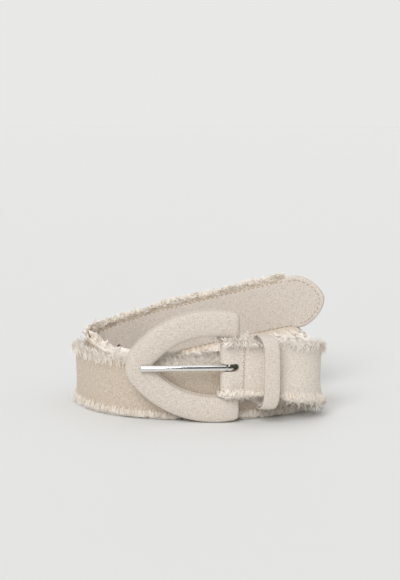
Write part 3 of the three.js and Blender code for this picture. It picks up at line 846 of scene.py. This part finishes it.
def archSolid(name, levels):
    # levels are (inset, y), from the back to the front
    bm = bmesh.new()
    last = None
    first = None
    for inset, y in levels:
        ring = [bm.verts.new((x, y, z)) for x, z in archOutline(inset)]
        edges = [bm.edges.new((a, b)) for a, b in zip(ring, ring[1:] + ring[:1])]
        if last:
            bmesh.ops.bridge_loops(bm, edges=last + edges)
        first = first or edges
        last = edges
    for edges in (first, last):
        bmesh.ops.contextual_create(bm, geom=edges)
    bmesh.ops.recalc_face_normals(bm, faces=bm.faces)
    return toObject(bm, name)


def clothUv(obj):
    # the weave lies flat on the front and turns down over the sides
    mesh = obj.data
    points = meshPoints(mesh)
    normals = np.empty(len(mesh.vertices) * 3)
    mesh.vertex_normals.foreach_get("vector", normals)
    normals = normals.reshape(-1, 3)
    depth = points[:, 1] - points[:, 1].min()
    setUv(mesh, points[:, 0] + normals[:, 0] * depth, points[:, 2] + normals[:, 2] * depth)


def makeBuckle():
    back = barY + arch["thickness"] / 2
    front = barY - arch["thickness"] / 2 - arch["gap"] - arch["cover"]
    levels = [(0.5, back), (0.12, back - 0.25), (0, back - 0.9)]
    for turn in np.radians(np.linspace(0, 90, 13)):
        levels.append((arch["run"] * (1 - math.cos(turn)), front + arch["rise"] * (1 - math.sin(turn))))
    cover = archSolid("buckleCloth", levels)
    clothUv(cover)
    setPoints(cover.data, meshPoints(cover.data) * mm)
    finishPiece(cover, "buckle", buckleLinen, "cloth", "buckle_cover")
    near = back + arch["gap"]
    far = near + arch["backing"]
    rim = arch["overhang"]
    backing = archSolid("buckleBacking", [
        (0.0, far), (0.2 - rim, far - 0.05), (-rim, far - 0.3),
        (-rim, near + 0.25), (0.25 - rim, near), (0.6, near),
    ])
    clothUv(backing)
    setPoints(backing.data, meshPoints(backing.data) * mm)
    finishPiece(backing, "buckle", keeperLinen, "cloth", "buckle_backing")
    print("buckle", len(cover.data.polygons), "faces")


makeBuckle()


# Bar and prong

def makeBar():
    low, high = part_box("crossbar")
    bm = bmesh.new()
    centre = (low + high) / 2
    radius = prong["barRadius"] * mm
    bmesh.ops.create_cone(bm, cap_ends=True, segments=48, radius1=radius, radius2=radius,
                          depth=high.z - low.z, matrix=Matrix.Translation(centre))
    caps = [e for e in bm.edges if all(abs(v.co.z - e.verts[0].co.z) < 1e-7 for v in e.verts)]
    bmesh.ops.bevel(bm, geom=caps, offset=0.3 * mm, offset_type="OFFSET", segments=3, profile=0.5,
                    affect="EDGES", material=-1)
    finishPiece(toObject(bm, "buckleBar"), "buckle", steel, "polished_steel", "crossbar")


def makeProng():
    inside = prong["barRadius"] + prong["play"]
    r = prong["radius"]
    bm = bmesh.new()
    # curl round the bar: a rounded strip, spun about the bar
    top = prong["curlTop"]
    corners = [(inside, -r), (inside + prong["wall"], -r), (inside + prong["wall"], top), (inside, top)]
    verts = [bm.verts.new((x, 0, z)) for x, z in corners]
    edges = [bm.edges.new((a, b)) for a, b in zip(verts, verts[1:] + verts[:1])]
    bmesh.ops.spin(bm, geom=verts + edges, axis=(0, 0, 1), cent=(0, 0, 0), angle=2 * math.pi, steps=64,
                   use_merge=True)
    bmesh.ops.remove_doubles(bm, verts=bm.verts, dist=1e-4)
    bmesh.ops.recalc_face_normals(bm, faces=bm.faces)
    sharp = [e for e in bm.edges if len(e.link_faces) == 2 and e.calc_face_angle(0) > 0.8]
    bmesh.ops.bevel(bm, geom=sharp, offset=0.35, offset_type="OFFSET", segments=3, profile=0.5,
                    affect="EDGES", material=-1)
    bmesh.ops.translate(bm, verts=bm.verts, vec=(barX, barY, barZ))
    curl = toObject(bm, "prongCurl")
    setPoints(curl.data, meshPoints(curl.data) * mm)
    finishPiece(curl, "prong", steel, "polished_steel")

    low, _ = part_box("prong")
    root = Vector((barX, barY - inside - r, barZ))
    tip = Vector((low.x / mm, low.y / mm + r, barZ))
    bm = bmesh.new()
    length = root.x - tip.x
    stretch = [(0, 0.0), (0.5, r * 0.55), (1.3, r * 0.86), (2.4, r), (length - 1.1, r),
               (length - 0.45, r * 0.93), (length - 0.12, r * 0.72), (length, 0.0)]
    verts = [bm.verts.new((-x, 0, z)) for x, z in stretch]
    edges = [bm.edges.new((a, b)) for a, b in zip(verts, verts[1:])]
    bmesh.ops.spin(bm, geom=verts + edges, axis=(1, 0, 0), cent=(0, 0, 0), angle=2 * math.pi, steps=48,
                   use_merge=True)
    bmesh.ops.remove_doubles(bm, verts=bm.verts, dist=1e-4)
    bmesh.ops.recalc_face_normals(bm, faces=bm.faces)
    tilt = math.atan2(tip.y - root.y, tip.x - root.x) - math.pi
    bmesh.ops.rotate(bm, verts=bm.verts, cent=(0, 0, 0), matrix=Matrix.Rotation(tilt, 3, "Z"))
    bmesh.ops.translate(bm, verts=bm.verts, vec=root)
    pin = toObject(bm, "prongPin")
    setPoints(pin.data, meshPoints(pin.data) * mm)
    finishPiece(pin, "prong", steel, "polished_steel", "prong")
    print("prong done")


makeBar()
makeProng()


# Keeper

keeper = {
    "width": 10.0,
    "squareness": 0.45,
    "steps": 96,
    "ply": 0.6,
    "crown": 0.35,
}


def makeKeeper():
    loops = (("keeperFace", "keeper_face", keeper["crown"]), ("keeperLining", "keeper_lining", 0.05))
    for name, nodeName, puff in loops:
        low, high = (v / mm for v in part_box(nodeName))
        lean = ((high.x - low.x) - keeper["width"]) / 2
        centre = (low + high) / 2
        halfDepth, halfHeight = (high.y - low.y) / 2, (high.z - low.z) / 2
        half, wall = keeper["width"] / 2, keeper["ply"]
        # a rounded section, lower in the middle of the inside
        section = [(-half, 0.2), (-half, wall - 0.25), (-half + 0.35, wall), (-half + 2, wall + 0.5 * puff),
                   (0, wall + puff), (half - 2, wall + 0.5 * puff), (half - 0.35, wall), (half, wall - 0.25),
                   (half, 0.2), (half - 0.3, 0), (0, 0), (-half + 0.3, 0)]
        bm = bmesh.new()
        rings = []
        for k in range(keeper["steps"]):
            angle = 2 * math.pi * k / keeper["steps"]
            c, s = math.cos(angle), math.sin(angle)
            depth = math.copysign(abs(c) ** keeper["squareness"], c)
            height = math.copysign(abs(s) ** keeper["squareness"], s)
            ring = []
            for side, off in section:
                grow = off - wall
                ring.append(bm.verts.new((
                    centre.x - lean * c + side,
                    centre.y + depth * (halfDepth + grow),
                    centre.z + height * (halfHeight + grow),
                )))
            rings.append([bm.edges.new((a, b)) for a, b in zip(ring, ring[1:] + ring[:1])])
        for a, b in zip(rings, rings[1:] + rings[:1]):
            bmesh.ops.bridge_loops(bm, edges=a + b)
        bmesh.ops.recalc_face_normals(bm, faces=bm.faces)
        obj = toObject(bm, name)
        clothUv(obj)
        setPoints(obj.data, meshPoints(obj.data) * mm)
        finishPiece(obj, "keeper", keeperLinen, "cloth", nodeName)
    low, high = (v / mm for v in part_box("keeper_thread"))
    obj = repeatRow(oneStitch(2.8, 0.28), "keeperStitches", 4, 3.5)
    flat = meshPoints(obj.data)
    across = (low.x + high.x) / 2 + flat[:, 2]
    place = np.stack([across, low.y + flat[:, 1], high.z - 1.6 - flat[:, 0]], axis=1)
    setPoints(obj.data, place)
    setAttribute(obj.data, "reach", [0.5] * len(obj.data.vertices))
    setAttribute(obj.data, "tone", [0.4] * len(obj.data.vertices))
    setPoints(obj.data, meshPoints(obj.data) * mm)
    finishPiece(obj, "keeper", stitchYarn, "thread", "keeper_thread")
    print("keeper done")


makeKeeper()


# Studio

studio = {
    "floor": (0.81, 0.81, 0.795),
    "sky": 0.52,                   # even light from all round
    "eye": (-0.45, -737.29, 200.02),
    "down": 9.04,                  # degrees that the camera looks down
    "lens": 66.35,
    "suns": {                      # name: (direction it comes from, strength, spread in degrees)
        "keyLight": ((-0.35, -0.95, 0.85), 1.75, 35),
        "fillLight": ((0.7, 0.1, 1.0), 0.35, 70),
    },
}


def makeFloor():
    bm = bmesh.new()
    bmesh.ops.create_grid(bm, x_segments=1, y_segments=1, size=30)
    floor = toObject(bm, "floor")
    material = bpy.data.materials.new("paleFloor")
    material.use_nodes = True
    shader = material.node_tree.nodes["Principled BSDF"]
    shader.inputs["Base Color"].default_value = (*studio["floor"], 1)
    shader.inputs["Roughness"].default_value = 0.6
    shader.inputs["Specular IOR Level"].default_value = 0.1
    floor.data.materials.append(material)


def makeWorld():
    world = bpy.data.worlds.new("studio")
    bpy.context.scene.world = world
    world.use_nodes = True
    tree = world.node_tree
    even = tree.nodes["Background"]
    even.inputs["Color"].default_value = (0.98, 0.99, 1.0, 1)
    even.inputs["Strength"].default_value = studio["sky"]
    seen = node(tree, "ShaderNodeBackground")
    seen.inputs["Color"].default_value = (*studio["floor"], 1)
    # what polished metal mirrors: a bright ceiling over a dark front of the room
    mirrored = node(tree, "ShaderNodeBackground")
    apart = node(tree, "ShaderNodeSeparateXYZ")
    tree.links.new(node(tree, "ShaderNodeTexCoord").outputs["Generated"], apart.inputs[0])
    high = remap(tree, apart.outputs[2], 0.70, 0.84)
    behind = remap(tree, apart.outputs[1], -0.2, 0.5)
    bright = math2(tree, "MAXIMUM", high, behind)
    room = mixColour(tree, bright, (0.0, 0.0, 0.0), (1.05, 1.05, 1.05))
    tree.links.new(room, mirrored.inputs["Color"])
    path = node(tree, "ShaderNodeLightPath")
    last = even.outputs[0]
    for ray, background in (("Is Glossy Ray", mirrored), ("Is Camera Ray", seen)):
        mix = node(tree, "ShaderNodeMixShader")
        tree.links.new(path.outputs[ray], mix.inputs[0])
        tree.links.new(last, mix.inputs[1])
        tree.links.new(background.outputs[0], mix.inputs[2])
        last = mix.outputs[0]
    tree.links.new(last, tree.nodes["World Output"].inputs[0])


def makeLights():
    for name, (place, power, spread) in studio["suns"].items():
        light = bpy.data.lights.new(name, "SUN")
        light.energy = power
        light.angle = math.radians(spread)
        lamp = bpy.data.objects.new(name, light)
        lamp.rotation_euler = (-Vector(place)).to_track_quat("-Z", "Y").to_euler()
        bpy.context.scene.collection.objects.link(lamp)


def makeCamera():
    camera = bpy.data.cameras.new("camera")
    camera.sensor_width = 36
    camera.lens = studio["lens"]
    eye = bpy.data.objects.new("camera", camera)
    eye.location = Vector(studio["eye"]) * mm
    eye.rotation_euler = (math.radians(90 - studio["down"]), 0, 0)
    bpy.context.scene.collection.objects.link(eye)
    bpy.context.scene.camera = eye


makeFloor()
makeWorld()
makeLights()
makeCamera()
bpy.context.scene.view_settings.view_transform = "Standard"
